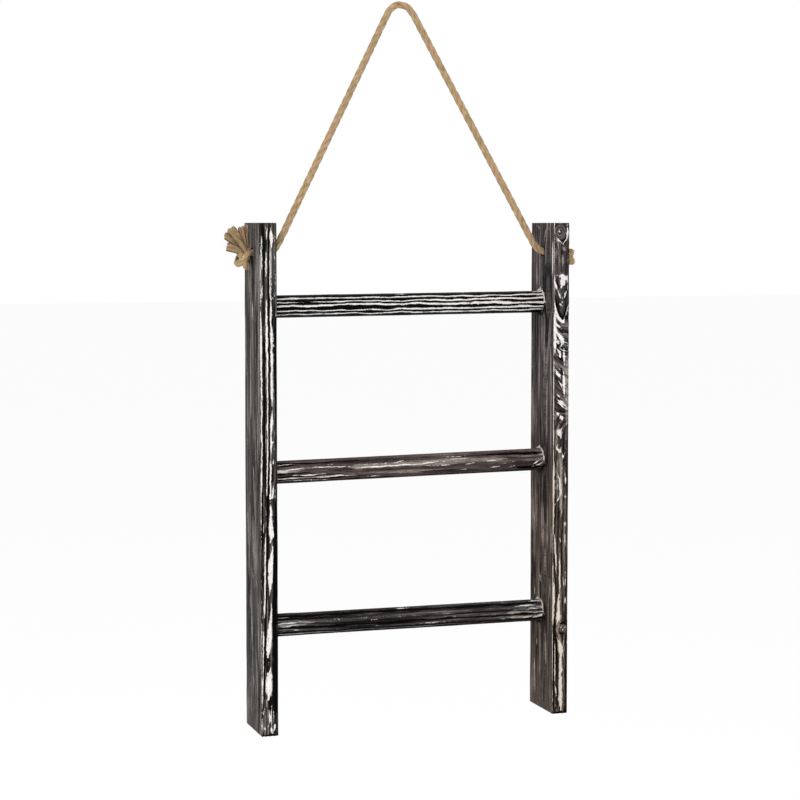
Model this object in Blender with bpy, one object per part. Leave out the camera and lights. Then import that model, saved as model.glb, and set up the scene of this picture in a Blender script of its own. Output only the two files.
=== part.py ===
"""Ladder towel rack: two upright boards, three dowel rungs and one rope that hangs it on a wall.

The origin is the underside of the rope, where a hook holds it. +X runs along the rungs from left
to right, -Y is the front, +Y is the wall and +Z is up. Every length is in metres.
"""

import math

import bmesh
import bpy
from mathutils import Matrix, Vector

GAP = 0.0003                    # clearance between pieces that touch

# The two upright boards
BOARD_HEIGHT = 0.559
BOARD_THICKNESS = 0.019
BOARD_DEPTH = 0.0686
BOARD_EDGE_ROUND = 0.001
OVERALL_WIDTH = 0.360           # over the outer faces of both boards

# The dowels, each glued into a blind socket in either board
RUNG_RADIUS = 0.0127
RUNG_END_CHAMFER = 0.0008
SOCKET_DEPTH = 0.012
RUNG_SET_BACK = 0.008           # rung centres behind the boards' middle, nearer to the wall
RUNG_DROPS = {                  # rung centre below the boards' tops, at its left and right ends
    "top_rung": (0.092, 0.090),
    "middle_rung": (0.275, 0.271),
    "bottom_rung": (0.4450, 0.4460),
}

# The finish nails, driven from the boards' back edges across the rung ends
NAIL_RADIUS = 0.0008
NAIL_LENGTH = 0.032
NAIL_HEAD_RADIUS = 0.0014
NAIL_HEAD_HEIGHT = 0.0010
NAIL_SET = 0.0006               # how far the head is sunk below the back edge

# The rope, its holes and its knots
ROPE_RADIUS = 0.004
ROPE_HOLE_RADIUS = 0.0055
ROPE_HOLE_DROP = 0.033          # hole centre below the boards' tops
ROPE_POINT_SPACING = 0.016
WALL_CLEARANCE = 0.0003         # from the rope's back to the wall that the boards lean on
HALF_ROUTE = (                  # (distance from the middle, rise above the holes), knot to hook
    (0.1800, 0.0000),
    (0.1740, 0.0000),
    (0.1690, 0.0000),
    (0.1650, 0.0001),
    (0.1614, 0.0006),
    (0.1580, 0.0019),
    (0.1552, 0.0037),
    (0.1527, 0.0064),
    (0.1464, 0.0170),
    (0.1333, 0.0420),
    (0.1150, 0.0770),
    (0.0941, 0.1170),
    (0.0732, 0.1570),
    (0.0522, 0.1970),
    (0.0339, 0.2320),
    (0.0219, 0.2550),
    (0.0142, 0.2690),
    (0.0113, 0.2730),
    (0.0080, 0.2758),
    (0.0041, 0.2775),
    (0.0000, 0.2781),
)
KNOT_REACH = 0.0178             # how far a knot stands out from its board
KNOT_RADIUS = 0.0112
KNOT_TURNS = 3                  # wrapped turns that show round the knot
KNOT_SLANT = 4                  # how far each turn leans round as it goes outward, in radians
KNOT_SWELL = 0.09               # height of the turns over the knot's radius
KNOT_OVERLAP = 1.15             # the whole ball's reach over the part that stands on the board
KNOT_DROP = 0.006               # the knot's centre below its hole

ROUND_SIDES = 48
SMALL_SIDES = 16
SMOOTH_ANGLE = math.radians(35)

# Places worked out from the sizes above
HALF_WIDTH = OVERALL_WIDTH / 2
INNER_FACE = HALF_WIDTH - BOARD_THICKNESS
WALL_Y = ROPE_RADIUS + WALL_CLEARANCE
BOARD_Y = WALL_Y - BOARD_DEPTH / 2
RUNG_Y = BOARD_Y + RUNG_SET_BACK
ROPE_RISE = HALF_ROUTE[-1][1]
ROPE_LEAN = math.asin(-BOARD_Y / ROPE_RISE)
HOLE_Z = ROPE_RADIUS - ROPE_RISE * math.cos(ROPE_LEAN)
BOARD_TOP = HOLE_Z + ROPE_HOLE_DROP
SIDES = {"left": -1, "right": 1}


def clear_scene():
    for item in list(bpy.data.objects):
        bpy.data.objects.remove(item, do_unlink=True)


def finish_material(name, colour, roughness, metallic=0.0):
    material = bpy.data.materials.new(name)
    material.use_nodes = True
    shader = material.node_tree.nodes["Principled BSDF"]
    shader.inputs["Base Color"].default_value = (*colour, 1.0)
    shader.inputs["Roughness"].default_value = roughness
    shader.inputs["Metallic"].default_value = metallic
    return material


def add_object(name, mesh_edit, material=None, round_faces=True):
    """Make one object at the world origin from a bmesh, shaded smooth where its faces are round."""
    bmesh.ops.recalc_face_normals(mesh_edit, faces=mesh_edit.faces)
    mesh = bpy.data.meshes.new(name)
    mesh_edit.to_mesh(mesh)
    mesh_edit.free()
    if round_faces:
        mesh.shade_smooth()
        mesh.set_sharp_from_angle(angle=SMOOTH_ANGLE)
    item = bpy.data.objects.new(name, mesh)
    bpy.context.collection.objects.link(item)
    if material:
        mesh.materials.append(material)
    return item


def as_cutter(item):
    item.hide_render = True
    item.display_type = "WIRE"
    return item


def cut(target, cutter):
    modifier = target.modifiers.new("cut_" + cutter.name, "BOOLEAN")
    modifier.operation = "DIFFERENCE"
    modifier.solver = "EXACT"
    modifier.object = cutter


def rod(start, end, radius, sides):
    """A solid cylinder between two points, as a bmesh."""
    axis = Vector(end) - Vector(start)
    turn = Vector((0, 0, 1)).rotation_difference(axis).to_matrix().to_4x4()
    place = Matrix.Translation((Vector(start) + Vector(end)) / 2) @ turn
    mesh_edit = bmesh.new()
    bmesh.ops.create_cone(
        mesh_edit, cap_ends=True, segments=sides, radius1=radius, radius2=radius,
        depth=axis.length, matrix=place,
    )
    return mesh_edit


def turned(profile, start, direction, sides):
    """A solid turned from (radius, distance) steps along a direction, closed at both ends."""
    turn = Vector((0, 0, 1)).rotation_difference(Vector(direction)).to_matrix().to_4x4()
    place = Matrix.Translation(Vector(start)) @ turn
    mesh_edit = bmesh.new()
    rings = []
    for radius, distance in profile:
        ring = []
        for step in range(sides):
            angle = 2 * math.pi * step / sides
            corner = Vector((radius * math.cos(angle), radius * math.sin(angle), distance))
            ring.append(mesh_edit.verts.new(place @ corner))
        rings.append(ring)
    bridge_and_cap(mesh_edit, rings)
    return mesh_edit


def bridge_and_cap(mesh_edit, rings):
    """Join rings of equal length by quads, and close the first and the last."""
    sides = len(rings[0])
    for lower, upper in zip(rings, rings[1:]):
        for step in range(sides):
            after = (step + 1) % sides
            mesh_edit.faces.new((lower[step], lower[after], upper[after], upper[step]))
    mesh_edit.faces.new(list(reversed(rings[0])))
    mesh_edit.faces.new(rings[-1])


def board(name, side, material):
    mesh_edit = bmesh.new()
    bmesh.ops.create_cube(mesh_edit, size=1.0)
    bmesh.ops.scale(mesh_edit, vec=(BOARD_THICKNESS, BOARD_DEPTH, BOARD_HEIGHT), verts=mesh_edit.verts)
    centre = (side * (HALF_WIDTH - BOARD_THICKNESS / 2), BOARD_Y, BOARD_TOP - BOARD_HEIGHT / 2)
    bmesh.ops.translate(mesh_edit, vec=centre, verts=mesh_edit.verts)
    item = add_object(name, mesh_edit, material, round_faces=False)
    rounding = item.modifiers.new("edge_round", "BEVEL")
    rounding.width = BOARD_EDGE_ROUND
    rounding.segments = 2
    hole = rod(
        (side * (INNER_FACE - BOARD_THICKNESS), BOARD_Y, HOLE_Z),
        (side * (HALF_WIDTH + BOARD_THICKNESS), BOARD_Y, HOLE_Z),
        ROPE_HOLE_RADIUS, ROUND_SIDES // 2,
    )
    cut(item, as_cutter(add_object(name + "_rope_hole", hole)))
    return item


def rung_ends(drops, reach):
    """The points on a rung's centre line that lie at a distance to either side of the middle."""
    left, right = (Vector((side * INNER_FACE, RUNG_Y, BOARD_TOP - drop))
                   for side, drop in zip(SIDES.values(), drops))
    middle = (left + right) / 2
    half = (right - left) / 2 * (reach / INNER_FACE)
    return middle - half, middle + half


def rung(name, drops, material):
    start, end = rung_ends(drops, INNER_FACE + SOCKET_DEPTH - GAP)
    length = (end - start).length
    chamfer = RUNG_END_CHAMFER
    profile = (
        (RUNG_RADIUS - chamfer, 0),
        (RUNG_RADIUS, chamfer),
        (RUNG_RADIUS, length - chamfer),
        (RUNG_RADIUS - chamfer, length),
    )
    return add_object(name, turned(profile, start, end - start, ROUND_SIDES), material)


def socket(name, side, drops):
    """The cutter for a rung's blind socket, drilled along the rung from a board's inner face."""
    mouth = rung_ends(drops, INNER_FACE - SOCKET_DEPTH)
    floor = rung_ends(drops, INNER_FACE + SOCKET_DEPTH)
    end = 0 if side < 0 else 1
    return as_cutter(add_object(name, rod(mouth[end], floor[end], RUNG_RADIUS + GAP, ROUND_SIDES)))


def nail_solid(side, drops, margin):
    """A finish nail across a rung's end, or, with a margin, the hole that it leaves."""
    middle = rung_ends(drops, INNER_FACE + SOCKET_DEPTH / 2)[0 if side < 0 else 1]
    back = WALL_Y - NAIL_SET
    top = BOARD_THICKNESS if margin else 0
    profile = (
        (NAIL_HEAD_RADIUS + margin, -top),
        (NAIL_HEAD_RADIUS + margin, NAIL_HEAD_HEIGHT + margin),
        (NAIL_RADIUS + margin, NAIL_HEAD_HEIGHT + NAIL_RADIUS + margin),
        (NAIL_RADIUS + margin, NAIL_LENGTH + margin),
    )
    return turned(profile, (middle.x, back, middle.z), (0, -1, 0), SMALL_SIDES)


def smooth_line(points, spacing):
    """Points on one smooth curve through the given ones, no further apart than the spacing."""
    slopes = []
    for index, point in enumerate(points):
        before = points[max(index - 1, 0)]
        after = points[min(index + 1, len(points) - 1)]
        back, ahead = point - before, after - point
        if back.length and ahead.length:
            mixed = back * (ahead.length / back.length) + ahead * (back.length / ahead.length)
            slopes.append(mixed / (back.length + ahead.length))
        else:
            slopes.append((back + ahead).normalized())
    line = [points[0]]
    for index in range(len(points) - 1):
        start, end = points[index], points[index + 1]
        length = (end - start).length
        steps = math.ceil(length / spacing)
        for step in range(1, steps + 1):
            t = step / steps
            line.append(
                start * (2 * t**3 - 3 * t**2 + 1)
                + end * (3 * t**2 - 2 * t**3)
                + slopes[index] * (length * (t**3 - 2 * t**2 + t))
                + slopes[index + 1] * (length * (t**3 - t**2))
            )
    return line


def rope_place(across, rise):
    """A point of the rope's leaning plane, which holds both holes and the hook."""
    return Vector((
        across,
        BOARD_Y + rise * math.sin(ROPE_LEAN),
        HOLE_Z + rise * math.cos(ROPE_LEAN),
    ))


def rope(name, material):
    left = [rope_place(-across, rise) for across, rise in HALF_ROUTE]
    right = [rope_place(across, rise) for across, rise in reversed(HALF_ROUTE[:-1])]
    line = smooth_line(left + right, ROPE_POINT_SPACING)
    curve = bpy.data.curves.new(name, "CURVE")
    curve.dimensions = "3D"
    curve.bevel_depth = ROPE_RADIUS
    curve.bevel_resolution = 3
    curve.use_fill_caps = True
    spline = curve.splines.new("POLY")
    spline.points.add(len(line) - 1)
    for spot, place in zip(spline.points, line):
        spot.co = (*place, 1.0)
    curve.materials.append(material)
    item = bpy.data.objects.new(name, curve)
    bpy.context.collection.objects.link(item)
    return item


def knot(name, side, material):
    """An overhand stopper knot: a squat ball with three slanting turns, flat against its board."""
    inner = HALF_WIDTH + GAP
    half_reach = KNOT_REACH / 2
    mesh_edit = bmesh.new()
    bmesh.ops.create_uvsphere(mesh_edit, u_segments=24, v_segments=14, radius=1.0)
    for corner in mesh_edit.verts:
        outward, across, up = corner.co.z, corner.co.x, corner.co.y
        turn = math.atan2(up, across)
        swell = 1 + KNOT_SWELL * (1 - outward**2) * math.cos(KNOT_TURNS * turn + KNOT_SLANT * outward)
        corner.co = (
            side * (inner + half_reach * (1 + KNOT_OVERLAP * outward)),
            BOARD_Y + KNOT_RADIUS * swell * across,
            HOLE_Z - KNOT_DROP + KNOT_RADIUS * swell * up,
        )
    cap = bmesh.ops.bisect_plane(
        mesh_edit, geom=mesh_edit.verts[:] + mesh_edit.edges[:] + mesh_edit.faces[:],
        plane_co=(side * inner, 0, 0), plane_no=(side, 0, 0), clear_inner=True,
    )
    rim = [part for part in cap["geom_cut"] if isinstance(part, bmesh.types.BMEdge)]
    bmesh.ops.edgeloop_fill(mesh_edit, edges=rim)
    return add_object(name, mesh_edit, material)


def rope_end(name, sections, material):
    """A flared, unlaid rope end: oval sections, each (centre, half width, half thickness, width way)."""
    mesh_edit = bmesh.new()
    centres = [Vector(section[0]) for section in sections]
    rings = []
    for index, (centre, half_width, half_thickness, width_way) in enumerate(sections):
        ahead = centres[min(index + 1, len(centres) - 1)] - centres[max(index - 1, 0)]
        wide = Vector(width_way).normalized()
        thick = ahead.cross(wide).normalized()
        ring = []
        for step in range(SMALL_SIDES):
            angle = 2 * math.pi * step / SMALL_SIDES
            offset = wide * (half_width * math.cos(angle)) + thick * (half_thickness * math.sin(angle))
            ring.append(mesh_edit.verts.new(Vector(centre) + offset))
        rings.append(ring)
    bridge_and_cap(mesh_edit, rings)
    return add_object(name, mesh_edit, material)


def beside_hole(outward, forward, up, side):
    """A point given from a rope hole's mouth on a board's outer face."""
    return (side * (HALF_WIDTH + outward), BOARD_Y - forward, HOLE_Z + up)


def rope_ends(material):
    """The left end fans up and away from its board, and the right one turns back to the wall."""
    left = SIDES["left"]
    left_sections = (
        (beside_hole(0.0078, 0.003, 0.0068, left), 0.0050, 0.0040, (1, 0, 0.25)),
        (beside_hole(0.0105, 0.003, 0.0118, left), 0.0085, 0.0045, (1, 0, 0.45)),
        (beside_hole(0.0140, 0.003, 0.0170, left), 0.0140, 0.0040, (1, 0, 0.80)),
        (beside_hole(0.0173, 0.003, 0.0215, left), 0.0180, 0.0030, (1, 0, 0.93)),
    )
    rope_end("left_rope_end", left_sections, material)
    right = SIDES["right"]
    right_sections = (
        (beside_hole(0.0080, -0.0120, -0.0030, right), 0.0040, 0.0045, (0, -0.4, 1)),
        (beside_hole(0.0085, -0.0180, 0.0020, right), 0.0065, 0.0045, (0, -0.6, 1)),
        (beside_hole(0.0090, -0.0225, 0.0080, right), 0.0095, 0.0040, (0, -0.9, 1)),
        (beside_hole(0.0095, -0.0250, 0.0145, right), 0.0100, 0.0030, (0, -1.4, 1)),
    )
    rope_end("right_rope_end", right_sections, material)


def main():
    clear_scene()
    board_wood = finish_material("charred_board", (0.085, 0.072, 0.068), 0.62)
    rung_wood = finish_material("charred_dowel", (0.075, 0.058, 0.055), 0.52)
    jute = finish_material("jute", (0.52, 0.33, 0.17), 0.85)
    steel = finish_material("nail_steel", (0.42, 0.41, 0.40), 0.40, metallic=1.0)

    boards = {word: board(word + "_rail", side, board_wood) for word, side in SIDES.items()}
    for rung_name, drops in RUNG_DROPS.items():
        dowel = rung(rung_name, drops, rung_wood)
        level = rung_name.removesuffix("_rung")
        for word, side in SIDES.items():
            place = word + "_" + level
            cut(boards[word], socket(place + "_socket", side, drops))
            nail_hole = as_cutter(add_object(place + "_nail_hole", nail_solid(side, drops, GAP)))
            cut(boards[word], nail_hole)
            cut(dowel, nail_hole)
            add_object(place + "_nail", nail_solid(side, drops, 0), steel)

    rope("rope", jute)
    for word, side in SIDES.items():
        knot(word + "_knot", side, jute)
    rope_ends(jute)


main()
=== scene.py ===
"""The looks of a ladder towel rack: charred and whitewashed wood, and a twisted jute rope."""
import math

import bmesh
import bpy
import numpy as np
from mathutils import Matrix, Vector


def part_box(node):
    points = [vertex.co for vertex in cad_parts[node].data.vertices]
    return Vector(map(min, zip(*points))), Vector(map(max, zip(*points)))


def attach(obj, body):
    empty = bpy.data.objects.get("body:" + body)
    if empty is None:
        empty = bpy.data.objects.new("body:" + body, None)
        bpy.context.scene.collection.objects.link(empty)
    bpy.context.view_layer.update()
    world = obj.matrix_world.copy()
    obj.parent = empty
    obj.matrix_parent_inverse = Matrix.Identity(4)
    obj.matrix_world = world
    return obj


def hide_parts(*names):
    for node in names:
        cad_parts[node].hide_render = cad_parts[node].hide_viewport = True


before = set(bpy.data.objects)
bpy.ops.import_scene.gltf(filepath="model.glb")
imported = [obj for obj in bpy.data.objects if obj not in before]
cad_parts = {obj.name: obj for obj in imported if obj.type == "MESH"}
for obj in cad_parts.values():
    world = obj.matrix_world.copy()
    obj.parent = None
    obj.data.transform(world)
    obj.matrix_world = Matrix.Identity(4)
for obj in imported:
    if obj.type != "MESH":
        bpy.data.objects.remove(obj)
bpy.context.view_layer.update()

# The rope's route, as in the CAD part: (distance from the middle, rise above the holes)
ROPE_RADIUS = 0.004
HALF_ROUTE = (
    (0.1800, 0.0000), (0.1740, 0.0000), (0.1690, 0.0000), (0.1650, 0.0001), (0.1614, 0.0006),
    (0.1580, 0.0019), (0.1552, 0.0037), (0.1527, 0.0064), (0.1464, 0.0170), (0.1333, 0.0420),
    (0.1150, 0.0770), (0.0941, 0.1170), (0.0732, 0.1570), (0.0522, 0.1970), (0.0339, 0.2320),
    (0.0219, 0.2550), (0.0142, 0.2690), (0.0113, 0.2730), (0.0080, 0.2758), (0.0041, 0.2775),
    (0.0000, 0.2781),
)
ROPE_RISE = HALF_ROUTE[-1][1]

# Places read from the frame
RAIL_BOXES = {"left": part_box("left_rail"), "right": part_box("right_rail")}
SIDES = {"left": -1, "right": 1}
BOARD_Y = (RAIL_BOXES["left"][0][1] + RAIL_BOXES["left"][1][1]) / 2
OUTER_X = RAIL_BOXES["right"][1][0]
ROPE_LEAN = math.asin(-BOARD_Y / ROPE_RISE)
HOLE_Z = ROPE_RADIUS - ROPE_RISE * math.cos(ROPE_LEAN)
ROPE_HOLE_RADIUS = 0.0055
ROPE_HOLE_ENDS = (0.15, 0.20)  # how far from the middle the cut for the rope starts and ends
MM = 0.001  # metres in a millimetre


# ---- numbers over many points

def lattice(cells, seed):
    """A repeatable random value from 0 to 1 for each whole-numbered cell."""
    mixed = np.sin(cells @ np.array([12.9898, 78.233, 37.719]) + seed * 11.31) * 43758.5453
    return mixed - np.floor(mixed)


def noise(points, seed=0):
    """Smooth noise from 0 to 1 at each point, one cell to the unit."""
    points = np.asarray(points, dtype=float)
    base = np.floor(points)
    part = points - base
    part = part * part * (3 - 2 * part)
    total = np.zeros(len(points))
    for corner in np.ndindex(2, 2, 2):
        weight = np.prod(np.where(corner, part, 1 - part), axis=1)
        total += weight * lattice(base + corner, seed)
    return total


def layered_noise(points, seed=0, layers=3):
    """Noise with finer and fainter noise laid over it."""
    total = 0
    reach = 0
    for layer in range(layers):
        total = total + noise(np.asarray(points) * 2**layer, seed + layer) / 2**layer
        reach += 1 / 2**layer
    return total / reach


def smoothstep(low, high, value):
    """0 at low and 1 at high, which may be the smaller one, and smooth between them."""
    part = np.clip((value - low) / (high - low), 0, 1)
    return part * part * (3 - 2 * part)


def stack(*columns):
    return np.stack(np.broadcast_arrays(*columns), axis=-1).astype(float)


# ---- meshes

ROD_SIDES = 64
CURVE_STEPS = 24  # fine steps between two given points of a smooth line


def add_object(name, data):
    item = bpy.data.objects.new(name, data)
    bpy.context.collection.objects.link(item)
    return item


def mesh_object(name, points, faces):
    mesh = bpy.data.meshes.new(name)
    mesh.from_pydata([tuple(point) for point in points], [], [tuple(face) for face in faces])
    mesh.update()
    mesh.shade_smooth()
    return add_object(name, mesh)


def read_points(mesh):
    flat = np.empty(len(mesh.vertices) * 3)
    mesh.vertices.foreach_get("co", flat)
    return flat.reshape(-1, 3)


def write_points(mesh, points):
    mesh.vertices.foreach_set("co", np.asarray(points, dtype=np.float32).ravel())
    mesh.update()


def put_values(mesh, values):
    """Store each named value, one number to a point, for the shader to read."""
    for name, numbers in values.items():
        layer = mesh.attributes.new(name, "FLOAT", "POINT")
        layer.data.foreach_set("value", np.asarray(numbers, dtype=np.float32))


def steps_between(low, high, spacing, edge):
    """Even steps from low to high, with closer ones inside the edge distance from either end."""
    count = max(2, round((high - low - 2 * edge) / spacing) + 1)
    middle = np.linspace(low + edge, high - edge, count)
    near = np.array([0.0, 0.25, 0.5, 0.75]) * edge
    return np.concatenate([low + near, middle, high - near[::-1]])


def block_surface(xs, ys, zs):
    """The points and quads of a block's six faces on the given steps."""
    counts = (len(xs), len(ys), len(zs))
    number = np.full(counts, -1)
    outside = np.zeros(counts, dtype=bool)
    for axis in range(3):
        rows = [slice(None)] * 3
        for end in (0, -1):
            rows[axis] = end
            outside[tuple(rows)] = True
    spots = np.argwhere(outside)
    number[outside] = np.arange(len(spots))
    points = stack(xs[spots[:, 0]], ys[spots[:, 1]], zs[spots[:, 2]])
    quads = []
    for axis in range(3):
        for end in (0, -1):
            rows = [slice(None)] * 3
            rows[axis] = end
            sheet = number[tuple(rows)]
            quad = stack(sheet[:-1, :-1], sheet[1:, :-1], sheet[1:, 1:], sheet[:-1, 1:]).astype(int)
            quad = quad.reshape(-1, 4)
            outward_flip = (end == 0) != (axis == 1)
            quads.append(quad[:, ::-1] if outward_flip else quad)
    return points, np.concatenate(quads)


def tube_faces(rows, sides):
    """The quads round a tube of rows times sides points, and one face over each end."""
    number = np.arange(rows * sides).reshape(rows, sides)
    after = np.roll(number, -1, axis=1)
    quads = stack(number[:-1], after[:-1], after[1:], number[1:]).astype(int).reshape(-1, 4)
    return [tuple(quad) for quad in quads] + [tuple(number[0][::-1]), tuple(number[-1])]


def rod_object(name, start, end, radius):
    axis = Vector(end) - Vector(start)
    shape = bmesh.new()
    bmesh.ops.create_cone(
        shape, cap_ends=True, segments=ROD_SIDES, radius1=radius, radius2=radius, depth=axis.length)
    turn = Vector((0, 0, 1)).rotation_difference(axis).to_matrix().to_4x4()
    bmesh.ops.transform(shape, matrix=turn, verts=shape.verts)
    bmesh.ops.translate(shape, vec=(Vector(start) + Vector(end)) / 2, verts=shape.verts)
    mesh = bpy.data.meshes.new(name)
    shape.to_mesh(mesh)
    shape.free()
    return add_object(name, mesh)


def bore(item, cutters):
    """Cut the cutters out of the item for good, and remove them."""
    for cutter in cutters:
        modifier = item.modifiers.new("bore", "BOOLEAN")
        modifier.operation = "DIFFERENCE"
        modifier.solver = "EXACT"
        modifier.object = cutter
    shaped = item.evaluated_get(bpy.context.evaluated_depsgraph_get())
    mesh = bpy.data.meshes.new_from_object(shaped)
    item.modifiers.clear()
    item.data = mesh
    for cutter in cutters:
        bpy.data.objects.remove(cutter, do_unlink=True)


def frames_along(line):
    """Unit directions along a line, and two directions square to each that don't twist."""
    ahead = np.gradient(line, axis=0)
    ahead /= np.linalg.norm(ahead, axis=1)[:, None]
    side = np.cross(ahead[0], (0.0, 1.0, 0.0) if abs(ahead[0][1]) < 0.9 else (1.0, 0.0, 0.0))
    sides = []
    for way in ahead:
        side = side - way * np.dot(side, way)
        side = side / np.linalg.norm(side)
        sides.append(side)
    sides = np.array(sides)
    return ahead, sides, np.cross(ahead, sides)


def lengths_along(line):
    return np.concatenate([[0], np.cumsum(np.linalg.norm(np.diff(line, axis=0), axis=1))])


def smooth_line(points, spacing):
    """Evenly spaced points on one smooth curve through the given ones."""
    points = np.asarray(points, dtype=float)
    gaps = np.linalg.norm(np.diff(points, axis=0), axis=1)
    steps = np.diff(points, axis=0) / gaps[:, None]
    inner = (steps[:-1] * gaps[1:, None] + steps[1:] * gaps[:-1, None]) / (gaps[:-1] + gaps[1:])[:, None]
    slopes = np.concatenate([steps[:1], inner, steps[-1:]])
    part = np.linspace(0, 1, CURVE_STEPS, endpoint=False)[:, None]
    fine = [
        start * (2 * part**3 - 3 * part**2 + 1) + end * (3 * part**2 - 2 * part**3)
        + first * gap * (part**3 - 2 * part**2 + part) + last * gap * (part**3 - part**2)
        for start, end, first, last, gap in zip(points, points[1:], slopes, slopes[1:], gaps)
    ]
    fine = np.concatenate(fine + [points[-1:]])
    length = lengths_along(fine)
    even = np.linspace(0, length[-1], max(2, round(length[-1] / spacing) + 1))
    return stack(*(np.interp(even, length, fine[:, axis]) for axis in range(3)))


# ---- shader nodes

MIX_COLOURS = (6, 7)  # the numbers of a Mix node's two colour inputs
MIX_RESULT = 2  # and of its colour output

class Shader:
    """A short way to write a material's node tree."""

    def __init__(self, name):
        self.material = bpy.data.materials.new(name)
        self.material.use_nodes = True
        self.tree = self.material.node_tree
        self.principled = self.tree.nodes["Principled BSDF"].inputs

    def link(self, value, socket):
        if isinstance(value, bpy.types.NodeSocket):
            self.tree.links.new(value, socket)
        elif socket.type == "RGBA":
            socket.default_value = (*value, 1)
        else:
            socket.default_value = value

    def node(self, kind, inputs, **settings):
        """The outputs of a new node, whose inputs are (number or name, value) pairs."""
        node = self.tree.nodes.new(kind)
        for name, setting in settings.items():
            setattr(node, name, setting)
        for key, value in inputs:
            self.link(value, node.inputs[key])
        return node.outputs

    def math(self, operation, *values):
        return self.node("ShaderNodeMath", enumerate(values), operation=operation)[0]

    def plus(self, first, second):
        return self.math("ADD", first, second)

    def less(self, first, second):
        return self.math("SUBTRACT", first, second)

    def times(self, first, second):
        return self.math("MULTIPLY", first, second)

    def attributes(self, *names):
        return [self.node("ShaderNodeAttribute", (), attribute_name=name)["Fac"] for name in names]

    def place(self):
        return self.node("ShaderNodeTexCoord", ())["Object"]

    def vector(self, *parts):
        return self.node("ShaderNodeCombineXYZ", enumerate(parts))[0]

    def noise(self, vector, scale, detail, roughness):
        pairs = (("Vector", vector), ("Scale", scale), ("Detail", detail), ("Roughness", roughness))
        return self.node("ShaderNodeTexNoise", pairs)["Fac"]

    def ramp(self, value, *stops):
        """Grey or colour stops, each (place, grey) or (place, (r, g, b))."""
        node = self.tree.nodes.new("ShaderNodeValToRGB")
        elements = node.color_ramp.elements
        while len(elements) < len(stops):
            elements.new(0.5)
        for element, (spot, colour) in zip(elements, stops):
            element.position = spot
            grey = isinstance(colour, (int, float))
            element.color = (colour, colour, colour, 1) if grey else (*colour, 1)
        self.link(value, node.inputs[0])
        return node.outputs["Color"]

    def span(self, value, low, high, to_low=0.0, to_high=1.0):
        """The value's smoothed way from low to high, as a number from to_low to to_high."""
        numbers = enumerate((value, low, high, to_low, to_high))
        return self.node("ShaderNodeMapRange", numbers, interpolation_type="SMOOTHSTEP")["Result"]

    def mix(self, share, first, second, blend="MIX"):
        pairs = ((0, share), *zip(MIX_COLOURS, (first, second)))
        return self.node("ShaderNodeMix", pairs, data_type="RGBA", blend_type=blend)[MIX_RESULT]

    def bump(self, height, strength, distance):
        pairs = (("Strength", strength), ("Distance", distance), ("Height", height))
        return self.node("ShaderNodeBump", pairs)["Normal"]

    def finish(self, colour, roughness, normal=None, specular=0.5):
        self.link(colour, self.principled["Base Color"])
        self.link(roughness, self.principled["Roughness"])
        self.link(specular, self.principled["Specular IOR Level"])
        if normal:
            self.link(normal, self.principled["Normal"])
        return self.material


# The first whitewash colour also colours the painted highlights on the right board's wood knot.
WHITEWASH_AND_HIGHLIGHT = (0.87, 0.835, 0.80)
CREAM_WHITEWASH = (0.72, 0.63, 0.54)
# The old whitewash colour also colours the pale film that is partly painted light on the boards' fronts.
OLD_WHITEWASH_AND_LIGHT = (0.36, 0.315, 0.28)
CHAR_BLACK = (0.0022, 0.0018, 0.0018)
COLOUR_TURN = (0.16, 0.34)  # where along the grain the upper colours give way to the lower ones


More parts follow.
